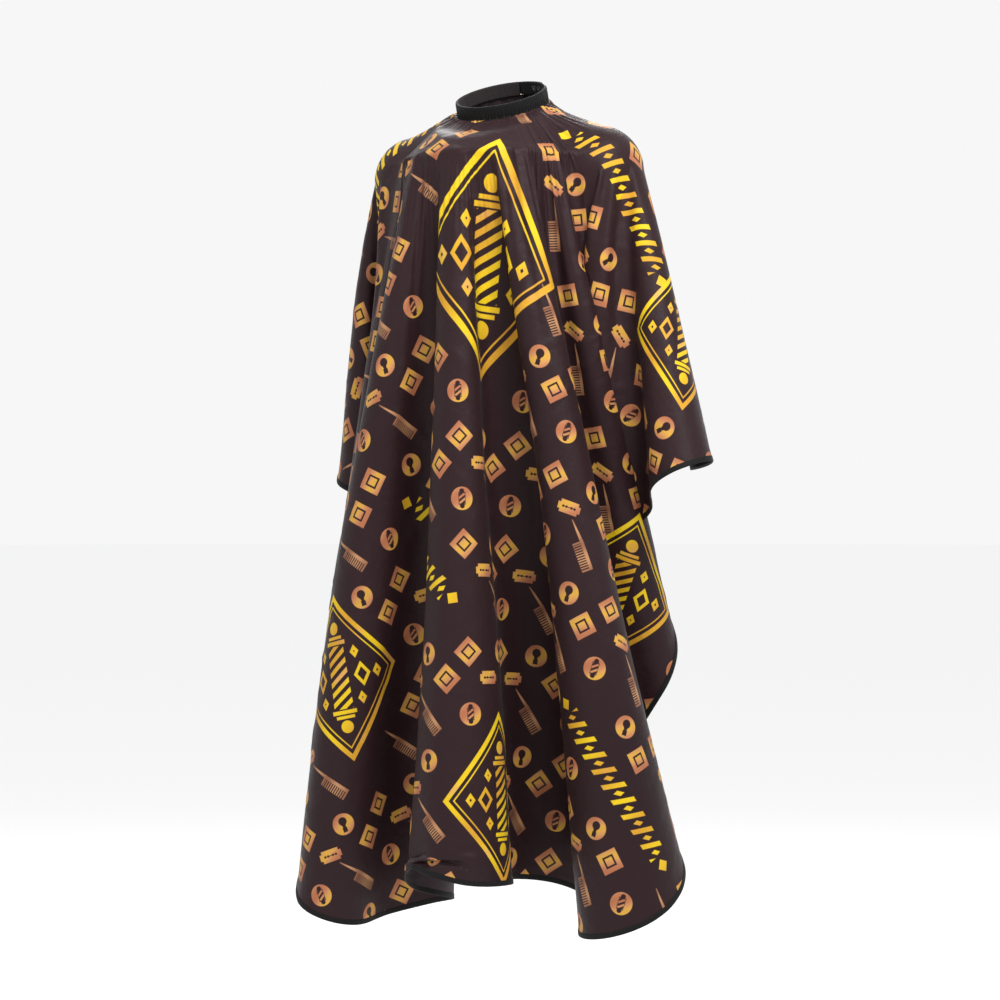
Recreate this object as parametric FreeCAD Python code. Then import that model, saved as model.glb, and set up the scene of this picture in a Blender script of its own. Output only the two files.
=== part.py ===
import FreeCAD, Part
import math
import os

# Barber cape, worn on the neck and shoulders, closed with snaps at the nape.
# Frame: origin at the centre of the neckband, +Z up, front of the wearer at -Y,
# wearer's left at +X.  All sizes in millimetres.

V = FreeCAD.Vector

# ---------------------------------------------------------------- dimensions
# flat cut of the cape (a rectangle with rounded front corners)
CAPE_HALF_WIDTH = 640.0        # 1280 wide
NECK_TO_FRONT_HEM = 1155.0
NECK_TO_BACK_HEM = 300.0       # 1455 long
FRONT_CORNER_R = 270.0
BACK_CORNER_R = 280.0
NECK_CUT_R = 74.0              # radius of the neck hole in the flat cut
CLOTH_T = 1.2                  # stands for the cloth's thickness

# neckband
BAND_TILT = 24.0               # degrees, front of the band lower than the nape
BAND_R_IN = 62.0
BAND_R_OUT = 66.5
BAND_H = 20.0
CASING_FROM = -177.5           # azimuth from the front, + towards the wearer's left
CASING_TO = 118.0
ELASTIC_R_IN, ELASTIC_R_OUT, ELASTIC_H = 63.7, 64.8, 13.6
CHANNEL_CLEAR = 0.1

# snap closure at the nape
UNDER_FROM, UNDER_TO = 118.0, 178.5
UNDER_R = [62.6, 63.3, 63.8, 64.6]       # lining, stiffener, face boundaries
OVER_FROM, OVER_TO = 141.0, 190.0
OVER_R = [66.8, 67.4, 67.9, 68.6]
TAB_H = 18.0
TAB_MARGIN = 2.5                          # stiffener stops short of the tab's edge
STUD_AZ = [125.0, 135.5, 146.0, 156.5]
SOCKET_AZ = [146.0, 156.5]
STUD_FLANGE_R, STUD_FLANGE_T = 5.0, 0.5
STUD_POST_R, STUD_POST_TIP_R, STUD_POST_H = 1.8, 1.4, 1.3
RIVET_R = 1.2
BACK_DISC_R, BACK_DISC_T = 4.5, 0.45
SOCKET_R, SOCKET_T, SOCKET_BORE_R = 5.2, 1.55, 2.7
CAP_R, CAP_T = 6.0, 1.1

# wearer's shoulders carry the cape: outline of the support, seen from above
SUPPORT_SIDE = 198.0
SUPPORT_FRONT = 138.0
SUPPORT_BACK = 140.0
SUPPORT_Z = [(0, -128), (45, -118), (90, -84), (135, -104), (180, -112)]
SHOULDER_ROUND = 70.0          # length over which a rib turns down

# edge binding
BIND_W, BIND_T, BIND_GAP = 7.0, 0.6, 0.3

# Where each rib of the draped cape ends: azimuth in the flat cut, hem x, hem y.
HEM_PLAN = [
    (-179.0, -4, 166), (-160, -30, 176), (-145, -72, 160), (-130, -122, 138),
    (-115, -196, 108), (-100, -272, 88), (-88, -300, 62), (-74, -288, 22),
    (-60, -270, 20), (-46, -258, -8), (-34, -268, -62), (-26, -214, -168),
    (-18, -136, -92), (-10, -34, -132), (-2, 36, -222), (6, 66, -132),
    (13, 104, -84), (21, 172, -134), (30, 262, -66), (40, 252, -18),
    (52, 270, -30), (64, 268, 8), (77, 296, 14), (90, 320, 34), (103, 284, 78),
    (117, 204, 104), (132, 118, 136), (147, 70, 160), (161, 30, 176),
    (179.0, 4, 166),
]

# ---------------------------------------------------------------- helpers
def catmull(table, x):
    """Smooth curve through a table of (x, value...) rows."""
    n = len(table)
    if x <= table[0][0]:
        return list(table[0][1:])
    if x >= table[-1][0]:
        return list(table[-1][1:])
    i = 0
    while table[i + 1][0] < x:
        i += 1
    a = table[max(i - 1, 0)]
    b = table[i]
    c = table[i + 1]
    d = table[min(i + 2, n - 1)]
    h = c[0] - b[0]
    t = (x - b[0]) / h
    out = []
    for k in range(1, len(b)):
        mb = (c[k] - a[k]) / (c[0] - a[0]) if c[0] > a[0] else 0.0
        mc = (d[k] - b[k]) / (d[0] - b[0]) if d[0] > b[0] else 0.0
        out.append(b[k] * (2*t**3 - 3*t**2 + 1) + mb * h * (t**3 - 2*t**2 + t)
                   + c[k] * (-2*t**3 + 3*t**2) + mc * h * (t**3 - t**2))
    return out


def flat_reach(az):
    """Distance from the neck centre to the edge of the flat cut."""
    s = abs(math.sin(math.radians(az)))
    c = math.cos(math.radians(az))
    t = CAPE_HALF_WIDTH / s if s > 1e-9 else 1e9
    ty = (NECK_TO_FRONT_HEM / c) if c > 1e-9 else (NECK_TO_BACK_HEM / -c if c < -1e-9 else 1e9)
    t = min(t, ty)
    for length, sgn, rc in ((NECK_TO_FRONT_HEM, 1, FRONT_CORNER_R), (NECK_TO_BACK_HEM, -1, BACK_CORNER_R)):
        cx, cy = CAPE_HALF_WIDTH - rc, sgn * (length - rc)
        if s * t > cx and c * t * sgn > length - rc:
            b = s * cx + c * cy
            disc = b * b - (cx * cx + cy * cy - rc * rc)
            if disc > 0:
                t = min(t, b + math.sqrt(disc))
    return t


def band_point(az, r, h):
    """A point of the tilted neckband frame: azimuth from the front, radius, height."""
    a = math.radians(az)
    f = r * math.cos(a)
    T = math.radians(BAND_TILT)
    return V(r * math.sin(a), -f * math.cos(T) - h * math.sin(T), -f * math.sin(T) + h * math.cos(T))


def rib(az, q):
    """Point of the cape's outer face; q in mm of cloth from the neckband seam."""
    p0 = band_point(az, BAND_R_OUT, -BAND_H / 2 - 0.1)
    a = math.radians(az)
    b = SUPPORT_FRONT if math.cos(a) > 0 else SUPPORT_BACK
    z1 = catmull([(-180,) + SUPPORT_Z[4][1:]] + [(-t[0],) + t[1:] for t in reversed(SUPPORT_Z[1:4])] + SUPPORT_Z, az)[0]
    p1 = V(SUPPORT_SIDE * math.sin(a), -b * math.cos(a), z1)
    l1 = (p1 - p0).Length
    total = flat_reach(az) - NECK_CUT_R
    hx, hy = catmull(HEM_PLAN, az)
    rest = total - l1
    plan = math.hypot(hx - p1.x, hy - p1.y)
    drop = math.sqrt(max(rest * rest - plan * plan, 25.0))
    d1 = (p1 - p0) * (1.0 / l1)
    d2 = V(hx - p1.x, hy - p1.y, -drop)
    d2 = d2 * (1.0 / d2.Length)
    w = min(SHOULDER_ROUND, 0.8 * l1, 0.6 * rest)
    if q <= l1 - w:
        return p0 + d1 * q
    if q >= l1 + w:
        return p1 + d2 * (q - l1)
    t = (q - (l1 - w)) / (2 * w)
    a0, a2 = p1 - d1 * w, p1 + d2 * w
    return a0 * ((1 - t) ** 2) + p1 * (2 * t * (1 - t)) + a2 * (t ** 2)


def rib_length(az):
    return flat_reach(az) - NECK_CUT_R


def surf(az, frac):
    return rib(az, frac * rib_length(az))


def surf_frame(az, frac):
    """Outer-face point, outward normal, unit along the rib (down), unit along the hem."""
    e = 0.6
    az0, az1 = max(az - e, -179.0), min(az + e, 179.0)
    du = surf(az1, frac) - surf(az0, frac)
    f0, f1 = max(frac - 0.004, 0.0), min(frac + 0.004, 1.0)
    dv = surf(az, f1) - surf(az, f0)
    n = dv.cross(du)
    n.normalize()
    p = surf(az, frac)
    dv.normalize()
    du.normalize()
    return p, n, dv, du


def spline_surface(rows):
    s = Part.BSplineSurface()
    s.interpolate(rows)
    return s


def edge_through(pts):
    c = Part.BSplineCurve()
    c.interpolate(pts)
    return c.toShape()


def solid_from(faces):
    sewn = Part.makeCompound(faces)
    sewn.sewShape()
    so = Part.makeSolid(sewn.Shells[0])
    if so.Volume < 0:
        so.reverse()
    return so


def thick_sheet(az_list, fr_list):
    outer, inner = [], []
    for az in az_list:
        ro, ri = [], []
        for fr in fr_list:
            p, n, dv, du = surf_frame(az, fr)
            ro.append(p)
            ri.append(p - n * CLOTH_T)
        outer.append(ro)
        inner.append(ri)
    so, si = spline_surface(outer), spline_surface(inner)
    fo, fi = so.toShape(), si.toShape()
    umax, vmax = so.bounds()[1], so.bounds()[3]
    umin, vmin = so.bounds()[0], so.bounds()[2]
    faces = [fo, fi]
    bi = si.bounds()
    pairs = [(so.uIso(umin), si.uIso(bi[0])), (so.uIso(umax), si.uIso(bi[1])),
             (so.vIso(vmin), si.vIso(bi[2])), (so.vIso(vmax), si.vIso(bi[3]))]
    for a, b in pairs:
        faces.append(Part.makeRuledSurface(a.toShape(), b.toShape()))
    return solid_from(faces)


def ruled_strip(sections, closed=False):
    """Solid strip through matching flat polygon sections, each a list of points."""
    m = len(sections[0])
    edges = [edge_through([s[k] for s in sections]) for k in range(m)]
    faces = [Part.makeRuledSurface(edges[k], edges[(k + 1) % m]) for k in range(m)]
    for s in (sections[0], sections[-1]):
        faces.append(Part.Face(Part.makePolygon(s + [s[0]])))
    return solid_from(faces)


def u_section(p, n, into):
    """Folded binding round an edge: p edge point, n outward normal, into the cloth."""
    g, t, w = BIND_GAP, BIND_T, BIND_W
    top, bot = g, -CLOTH_T - g
    out = 0.3
    pts = [(w, top + t), (-out - t, top + t), (-out - t, bot - t), (w, bot - t),
           (w, bot), (-out, bot), (-out, top), (w, top)]
    return [p + into * a + n * b for a, b in pts]


def tilt(shape):
    shape.rotate(V(0, 0, 0), V(1, 0, 0), BAND_TILT)
    return shape


def arc_strip(r0, r1, h0, h1, az0, az1):
    """Curved strip round the neck in the band's own frame, then tilted by the caller."""
    s = Part.makeCylinder(r1, h1 - h0, V(0, 0, h0), V(0, 0, 1), az1 - az0)
    s = s.cut(Part.makeCylinder(r0, h1 - h0 + 2, V(0, 0, h0 - 1), V(0, 0, 1)))
    # azimuth is measured from the front (-Y) towards +X
    s.rotate(V(0, 0, 0), V(0, 0, 1), az0 - 90.0)
    return s


def radial_cyl(az, r_from, length, rad, rad2=None):
    a = math.radians(az)
    d = V(math.sin(a), -math.cos(a), 0)
    p = d * r_from
    if rad2 is None:
        return Part.makeCylinder(rad, length, p, d)
    return Part.makeCone(rad, rad2, length, p, d)


def export(shape, name):
    shape.exportStep("parts/%s.step" % name)
    print("%-28s valid %s volume %.1f cm3" % (name, shape.isValid(), shape.Volume / 1000.0))


os.makedirs("parts", exist_ok=True)

# ---------------------------------------------------------------- cape panel
azs = [-179.0] + [-177.0 + 3.0 * i for i in range(119)] + [179.0]
fracs = [0.0, 0.06, 0.12, 0.19, 0.27, 0.36, 0.48, 0.61, 0.74, 0.87, 1.0]
cape_panel = thick_sheet(azs, fracs)
export(cape_panel, "cape_panel")

# ---------------------------------------------------------------- bindings
sections = []
az = -178.0
while az <= 178.001:
    p, n, down, along = surf_frame(az, 1.0)
    into = down * -1.0
    into = into - n * into.dot(n)
    into.normalize()
    sections.append(u_section(p, n, into))
    az += 2.0
hem_binding = ruled_strip(sections)
tight = [round(-178 + 2.0 * i) for i in range(len(sections) - 1)
         if (sections[i + 1][0] - sections[i][0]).dot(sections[i + 1][1] - sections[i][1]) <= 0]
print("hem stations where the binding's inner edge turns back:", tight)
export(hem_binding, "hem_binding")

for side, name in ((-179.0, "back_edge_binding_right"), (179.0, "back_edge_binding_left")):
    secs = []
    for k in range(13):
        fr = 0.03 + k * (0.95 / 12)
        p, n, down, along = surf_frame(side, fr)
        into = along if side < 0 else along * -1.0
        into = into - n * into.dot(n)
        into.normalize()
        secs.append(u_section(p, n, into))
    export(ruled_strip(secs), name)

# ---------------------------------------------------------------- neckband
h2 = BAND_H / 2.0
casing = arc_strip(BAND_R_IN, BAND_R_OUT, -h2, h2, CASING_FROM, CASING_TO)
casing = casing.makeFillet(0.9, [e for e in casing.Edges
                                 if abs(abs(e.BoundBox.ZMax) - h2) < 1e-6 and e.BoundBox.ZLength < 1e-6 and e.Length > 50])
channel = arc_strip(ELASTIC_R_IN - CHANNEL_CLEAR, ELASTIC_R_OUT + CHANNEL_CLEAR,
                    -ELASTIC_H / 2 - CHANNEL_CLEAR, ELASTIC_H / 2 + CHANNEL_CLEAR,
                    CASING_FROM - 1, CASING_TO + 1)
export(tilt(casing.cut(channel)), "neckband_casing")
elastic = arc_strip(ELASTIC_R_IN, ELASTIC_R_OUT, -ELASTIC_H / 2, ELASTIC_H / 2, CASING_FROM + 0.5, CASING_TO - 0.5)
export(tilt(elastic), "neck_elastic")

# ---------------------------------------------------------------- under tab (carries the studs)
th = TAB_H / 2.0


def tab_layer(r0, r1, az0, az1, margin, holes, hole_r):
    m = margin / r1 * 180.0 / math.pi
    s = arc_strip(r0, r1, -th + margin, th - margin, az0 + m, az1 - m)
    for az in holes:
        s = s.cut(radial_cyl(az, r0 - 3, r1 - r0 + 6, hole_r))
    return s


export(tilt(tab_layer(UNDER_R[0], UNDER_R[1], UNDER_FROM, UNDER_TO, 0, STUD_AZ, RIVET_R + 0.2)), "under_tab_lining")
export(tilt(tab_layer(UNDER_R[1], UNDER_R[2], UNDER_FROM, UNDER_TO, TAB_MARGIN, STUD_AZ, RIVET_R + 0.2)), "under_tab_stiffener")
export(tilt(tab_layer(UNDER_R[2], UNDER_R[3], UNDER_FROM, UNDER_TO, 0, STUD_AZ, RIVET_R + 0.2)), "under_tab_face")

studs, backs = [], []
for az in STUD_AZ:
    r = UNDER_R[3] + 0.02
    s = radial_cyl(az, r, STUD_FLANGE_T, STUD_FLANGE_R)
    s = s.fuse(radial_cyl(az, r + STUD_FLANGE_T - 0.05, STUD_POST_H, STUD_POST_R, STUD_POST_TIP_R))
    s = s.fuse(radial_cyl(az, UNDER_R[0] - 0.1, r + 0.2 - UNDER_R[0] + 0.1, RIVET_R))
    studs.append(s.removeSplitter())
    b = radial_cyl(az, UNDER_R[0] - BACK_DISC_T - 0.05, BACK_DISC_T, BACK_DISC_R)
    b = b.cut(radial_cyl(az, UNDER_R[0] - 3, 6, RIVET_R + 0.02))
    b = b.common(Part.makeCylinder(UNDER_R[0] - 0.02, 60, V(0, 0, -30)).cut(Part.makeCylinder(BAND_R_IN + 0.02, 60, V(0, 0, -30))))
    backs.append(b)
export(tilt(Part.makeCompound(studs)), "snap_studs")
export(tilt(Part.makeCompound(backs)), "snap_stud_washers")

# ---------------------------------------------------------------- over tab (peels open, carries the sockets)
export(tilt(tab_layer(OVER_R[0], OVER_R[1], OVER_FROM, OVER_TO, 0, SOCKET_AZ, RIVET_R + 0.2)), "over_tab_lining")
export(tilt(tab_layer(OVER_R[1], OVER_R[2], OVER_FROM, OVER_TO, TAB_MARGIN, SOCKET_AZ, RIVET_R + 0.2)), "over_tab_stiffener")
export(tilt(tab_layer(OVER_R[2], OVER_R[3], OVER_FROM, OVER_TO, 0, SOCKET_AZ, RIVET_R + 0.2)), "over_tab_face")

sockets, caps = [], []
for az in SOCKET_AZ:
    r = OVER_R[0] - 0.03
    s = radial_cyl(az, r - SOCKET_T, SOCKET_T, SOCKET_R)
    s = s.cut(radial_cyl(az, r - SOCKET_T - 1, 1 + SOCKET_T - 0.25, SOCKET_BORE_R))
    s = s.cut(radial_cyl(az, r - 1, 3, RIVET_R - 0.05))
    # the disc's face follows the tab so that it lies flat on it
    s = s.common(Part.makeCylinder(OVER_R[0] - 0.02, 60, V(0, 0, -30)))
    s = s.cut(Part.makeCylinder(UNDER_R[3] + STUD_FLANGE_T + 0.14, 60, V(0, 0, -30)))
    sockets.append(s)
    c = radial_cyl(az, OVER_R[3] - 0.2, CAP_T + 0.2, CAP_R)
    c = c.cut(Part.makeCylinder(OVER_R[3] + 0.02, 60, V(0, 0, -30)))
    rim = [e for e in c.Edges if len(e.Vertexes) == 1 and abs(e.Length - 2 * math.pi * CAP_R) < 0.3]
    top = max(rim, key=lambda e: (e.CenterOfMass.x ** 2 + e.CenterOfMass.y ** 2))
    c = c.makeFillet(0.55, [top])
    c = c.fuse(radial_cyl(az, OVER_R[0] - 0.2, OVER_R[3] - OVER_R[0] + 0.6, RIVET_R - 0.07)).removeSplitter()
    caps.append(c)
export(tilt(Part.makeCompound(sockets)), "snap_sockets")
export(tilt(Part.makeCompound(caps)), "snap_caps")

T = math.radians(BAND_TILT)
hp = band_point(OVER_TO, OVER_R[3], 0.0)
print("tab hinge at", [round(v, 4) for v in hp], "axis", [0.0, round(-math.sin(T), 6), round(math.cos(T), 6)])
print("cape box", cape_panel.BoundBox)
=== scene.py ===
import bpy
import math
import numpy as np
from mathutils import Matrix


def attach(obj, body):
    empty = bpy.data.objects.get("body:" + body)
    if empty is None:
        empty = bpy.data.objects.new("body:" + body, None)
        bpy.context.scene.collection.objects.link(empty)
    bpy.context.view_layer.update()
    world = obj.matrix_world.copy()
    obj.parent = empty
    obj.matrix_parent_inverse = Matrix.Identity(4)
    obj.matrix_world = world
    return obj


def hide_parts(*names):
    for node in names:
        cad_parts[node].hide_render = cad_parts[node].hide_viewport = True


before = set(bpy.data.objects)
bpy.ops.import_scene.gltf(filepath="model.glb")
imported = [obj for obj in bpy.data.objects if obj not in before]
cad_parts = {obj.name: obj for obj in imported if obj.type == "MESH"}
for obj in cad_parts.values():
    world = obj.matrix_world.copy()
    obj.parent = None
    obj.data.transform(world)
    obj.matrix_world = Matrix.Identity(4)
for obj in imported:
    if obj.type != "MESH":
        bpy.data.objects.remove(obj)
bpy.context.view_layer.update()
RNG = np.random.default_rng(7)

# ------------------------------------------------------------------ camera
AZ = math.radians(27.0)
CAM_D, CAM_Z = 3.80, -0.570
right = np.array([math.cos(AZ), math.sin(AZ), 0.0])
back = np.array([math.sin(AZ), -math.cos(AZ), 0.0])
cam_data = bpy.data.cameras.new("camera")
cam = bpy.data.objects.new("camera", cam_data)
bpy.context.scene.collection.objects.link(cam)
cam_data.sensor_width = 36.0
cam_data.lens = 700.0 * CAM_D / 1000.0 * 36.0
cam.location = tuple(back * CAM_D - right * 0.003 + np.array([0, 0, CAM_Z]))
cam.rotation_euler = (math.radians(90.0), 0.0, AZ)
cam_data.clip_start, cam_data.clip_end = 0.1, 200.0
bpy.context.scene.camera = cam

# ------------------------------------------------------------------ flat cut of the cape (cm, neck centre at 0, +y down the front)
HALF_W, FRONT, BACK, R_FRONT, R_BACK, R_NECK = 64.0, 115.5, 30.0, 27.0, 28.0, 7.4
TILT = math.radians(24.0)
RING = 6.60


def flat_reach(phi):
    s, c = np.sin(phi), np.cos(phi)
    tx = np.where(np.abs(s) > 1e-9, HALF_W / np.maximum(np.abs(s), 1e-9), 1e9)
    ty = np.where(c > 0, FRONT / np.maximum(c, 1e-9), BACK / np.maximum(-c, 1e-9))
    t = np.minimum(tx, ty)
    for length, sgn, rc in ((FRONT, 1, R_FRONT), (BACK, -1, R_BACK)):
        cx, cy = HALF_W - rc, sgn * (length - rc)
        inside = (np.abs(s) * t > cx) & (c * t * sgn > length - rc)
        b = np.abs(s) * cx + c * cy
        disc = b * b - (cx * cx + cy * cy - rc * rc)
        t = np.where(inside & (disc > 0), np.minimum(b + np.sqrt(np.maximum(disc, 0)), t), t)
    return t


def flat_grid(nu, nv, slit=0.012):
    u = np.linspace(-1, 1, nu)
    dense = np.linspace(-math.pi + slit, math.pi - slit, 6001)
    reach = flat_reach(dense)
    x, y = np.sin(dense) * reach, np.cos(dense) * reach
    s = np.concatenate([[0], np.cumsum(np.hypot(np.diff(x), np.diff(y)))])
    s /= s[-1]
    a = (dense - dense[0]) / (dense[-1] - dense[0])
    phi = np.interp((u + 1) / 2, 0.55 * s + 0.45 * a, dense)
    phi = 0.5 * (phi - phi[::-1])
    edge = flat_reach(phi)
    v = np.linspace(0, 1, nv) ** 1.08
    r = R_NECK + (edge[:, None] - R_NECK) * v[None, :]
    return phi, np.sin(phi)[:, None] * r, np.cos(phi)[:, None] * r


def ring_point(phi, rad, h):
    f = rad * np.cos(phi)
    return np.stack([rad * np.sin(phi), -f * math.cos(TILT) - h * math.sin(TILT), -f * math.sin(TILT) + h * math.cos(TILT)])


# ------------------------------------------------------------------ the body that the cape hangs on (not shown)
ELLIPSOIDS = [((0, 1.5, -13.5), (16.5, 8.0, 11.0)), ((0, -1.0, -24), (14.5, 10.5, 16)), ((0, 0, -48), (13.5, 9.5, 26)),
              ((-14.2, 1.5, -10.4), (6.0, 6.0, 6.0)), ((14.2, 1.5, -10.4), (6.0, 6.0, 6.0))]
ARMS = [((15.0, 1.5, -11.0), (20.5, 3.0, -40), 5.2, 3.8), ((-15.0, 1.5, -11.0), (-16.5, 4.0, -32), 5.0, 3.8)]


def body_distance(p):
    best = grad = None

    def join(best, grad, d, n, k=2.5):
        h = np.clip(0.5 + 0.5 * (best - d) / k, 0, 1)
        return best * (1 - h) + d * h - k * h * (1 - h), grad * (1 - h) + n * h

    for c, a in ELLIPSOIDS:
        q = [p[k] - c[k] for k in range(3)]
        k0 = np.sqrt((q[0] / a[0]) ** 2 + (q[1] / a[1]) ** 2 + (q[2] / a[2]) ** 2)
        g = [q[k] / (a[k] * a[k]) for k in range(3)]
        k1 = np.sqrt(g[0] ** 2 + g[1] ** 2 + g[2] ** 2) + 1e-9
        d = k0 * (k0 - 1) / k1
        n = np.stack([g[0] / k1, g[1] / k1, g[2] / k1])
        if best is None:
            best, grad = d, n
        else:
            best, grad = join(best, grad, d, n)
    r = np.sqrt(p[0] ** 2 + (p[1] - 0.5) ** 2) + 1e-9
    d = (r - (6.0 + np.maximum(0, -(p[2] + 0.5)))) * 0.7071
    d = np.where(p[2] > -9, d, 1e3)
    n = np.stack([p[0] / r * 0.7071, (p[1] - 0.5) / r * 0.7071, np.full_like(r, 0.7071)])
    best, grad = join(best, grad, d, n, 2.0)
    for a, b, ra, rb in ARMS:
        a = np.array(a, np.float32)
        ab = np.array(b, np.float32) - a
        q = p - a[:, None, None]
        t = np.clip((q * ab[:, None, None]).sum(0) / (ab ** 2).sum(), 0, 1)
        v = q - ab[:, None, None] * t
        ln = np.sqrt((v ** 2).sum(0)) + 1e-9
        best, grad = join(best, grad, ln - (ra + (rb - ra) * t), v / ln)
    return best, grad / (np.sqrt((grad ** 2).sum(0)) + 1e-9)


# ------------------------------------------------------------------ cloth: position-based, distance constraints on the flat lengths
class Cloth:
    def __init__(self, X, Y, P):
        self.F = np.stack([X, Y]).astype(np.float32)
        self.P = P.astype(np.float32).copy()
        self.V = np.zeros_like(self.P)
        self.nu, self.nv = X.shape
        self.w = np.ones((self.nu, self.nv), np.float32)
        self.w[:, 0] = 0
        # the fine gathers at the neckband take up this much of the cloth's width
        self.S = (1 - 0.11 * np.clip(1 - (np.hypot(X, Y) - R_NECK) / 9.0, 0, 1)).astype(np.float32)
        self.groups = []

    def _add(self, a, b, comp, ease=False):
        d = self.F[(slice(None),) + a] - self.F[(slice(None),) + b]
        L = np.sqrt((d ** 2).sum(0)).astype(np.float32)
        self.groups.append([a, b, L * self.S[a] if ease else L, comp])

    def along(self, k, ax, comp):
        n = self.nu if ax == 0 else self.nv
        for c in range(2 * k):
            m = min(len(range(n)[slice(c, n - k, 2 * k)]), len(range(n)[slice(c + k, n, 2 * k)]))
            if m <= 0:
                continue
            a = slice(c, c + (m - 1) * 2 * k + 1, 2 * k)
            b = slice(c + k, c + k + (m - 1) * 2 * k + 1, 2 * k)
            if ax == 0:
                self._add((a, slice(None)), (b, slice(None)), comp, True)
            else:
                self._add((slice(None), a), (slice(None), b), comp)

    def diagonal(self, comp):
        for flip in (0, 1):
            for c in range(2):
                m = len(range(c, self.nu - 1, 2))
                a = slice(c, c + (m - 1) * 2 + 1, 2)
                b = slice(c + 1, c + 1 + (m - 1) * 2 + 1, 2)
                if not flip:
                    self._add((a, slice(0, self.nv - 1)), (b, slice(1, self.nv)), comp)
                else:
                    self._add((a, slice(1, self.nv)), (b, slice(0, self.nv - 1)), comp)

    def step(self, dt, force, damp, mu=0.3, thick=0.15, gravity=981.0):
        V, P, w = self.V, self.P, self.w
        V[2] -= gravity * dt
        V += force * dt
        V *= (1 - damp * dt) * (w > 0)
        Q = P + V * dt
        for a, b, L, comp in self.groups:
            ia, ib = (slice(None),) + a, (slice(None),) + b
            pa, pb = Q[ia], Q[ib]
            d = pa - pb
            ln = np.sqrt(d[0] * d[0] + d[1] * d[1] + d[2] * d[2]) + 1e-6
            wa, wb = w[a], w[b]
            lam = (ln - L) / (ln * (wa + wb + comp / (dt * dt) + 1e-9))
            Q[ia] = pa - d * (lam * wa)
            Q[ib] = pb + d * (lam * wb)
        d, n = body_distance(Q)
        pen = np.maximum(thick - d, 0) * (w > 0)
        Q += n * pen
        mv = Q - P
        tang = mv - n * (mv * n).sum(0)
        tl = np.sqrt((tang ** 2).sum(0)) + 1e-9
        Q -= tang * (np.minimum(mu * pen, tl) / tl * (pen > 0))
        self.V = (Q - P) / dt
        sp = np.sqrt((self.V ** 2).sum(0)) + 1e-9
        self.V *= np.minimum(1.0, 400.0 / sp)
        self.P = Q


# where the front hem hangs, seen from above: along the hem (cm), right and away in the camera's axes
HEM = np.array([(-72, -20, 14), (-62, -26, 9), (-50, -28.6, 0), (-43.5, -24, -3.5), (-34, -15.5, -3), (-26.5, -16.6, -10),
                (-21.5, -12, -11.5), (-14.5, -6.5, -7), (-5.5, -7.6, -16), (1, -3, -18.5), (5.5, 1, -17), (13, 4, -10),
                (21, 8.5, -3), (33.5, 7.7, -15), (39, 12, -19), (45, 18.4, -18), (51, 14.5, -12.5), (56, 20.5, -13),
                (63, 26.5, -9), (72, 28, -1)], float)


# how far out the cloth reaches to left and right, seen from the camera's side: height, left, right (cm)
REACH = np.array([(0, -16.3, 19.3), (-4.2, -16.3, 19.3), (-11.3, -18.6, 22.0), (-18.4, -19.6, 23.9), (-25.6, -20.6, 25.4), (-32.7, -21.1, 27.0),
                  (-39.9, -21.7, 28.4), (-47.0, -22.3, 29.8), (-51.3, -22.7, 30.4), (-54.0, -23.0, 30.1), (-57.5, -23.4, 28.0), (-61.3, -23.7, 25.2),
                  (-68.4, -24.4, 24.3), (-75.6, -25.1, 24.7), (-82.7, -25.9, 25.0), (-89.9, -26.3, 25.5), (-97.0, -26.9, 25.9),
                  (-104.1, -27.7, 26.1), (-111.3, -28.1, 25.8), (-122, -28.5, 25.0)], float)[::-1]


def walls(P, K):
    """Push back on cloth that swings out past its reach."""
    cr = P[0] * math.cos(AZ) + P[1] * math.sin(AZ) - 0.3
    aw = -P[0] * math.sin(AZ) + P[1] * math.cos(AZ)
    k = 380.0 / (380.0 + aw)
    z = (P[2] + 57.0) * k - 57.0
    lo = np.interp(z, REACH[:, 0], REACH[:, 1])
    hi = np.interp(z, REACH[:, 0], REACH[:, 2])
    return K * (np.maximum(lo - cr * k, 0) - np.maximum(cr * k - hi, 0))


# the same across the middle, half way down
MID = np.array([(-72, -23, 10), (-40, -23, 4), (-33, -21.5, -3), (-26.7, -18, -6), (-17, -15.3, -9), (-14, -14.3, -10), (-7.2, -8.8, -12.5),
                (-0.7, -6, -14), (5.8, 0.3, -14.5), (12.3, 5.8, -14), (18.8, 9.5, -14), (25.3, 12, -12.5), (32, 15.5, -14),
                (36, 16.8, -13.5), (42, 16, -9), (48, 17.2, -8), (54, 21, -9.5), (60, 25, -6), (72, 28, 2)], float)


# and down the side edge on the wearer's left: down the cloth, right, away
EDGE = np.array([(10, 28, 2), (20, 25, 6), (30, 20.5, 9), (42, 19, 8), (54, 22.0, 2), (64, 24.3, -3), (76, 25, -5), (92, 25.8, -5)], float)


def along_guide(table, X):
    t = np.linspace(table[0, 0], table[-1, 0], 1421)
    k = np.exp(-0.5 * (np.arange(-30, 31) / 12.0) ** 2)
    k /= k.sum()
    c = [np.interp(X, t, np.convolve(np.pad(np.interp(t, table[:, 0], table[:, j]), 30, mode="edge"), k, "valid")) for j in (1, 2)]
    return c[0] * math.cos(AZ) - c[1] * math.sin(AZ), c[0] * math.sin(AZ) + c[1] * math.cos(AZ)


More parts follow.
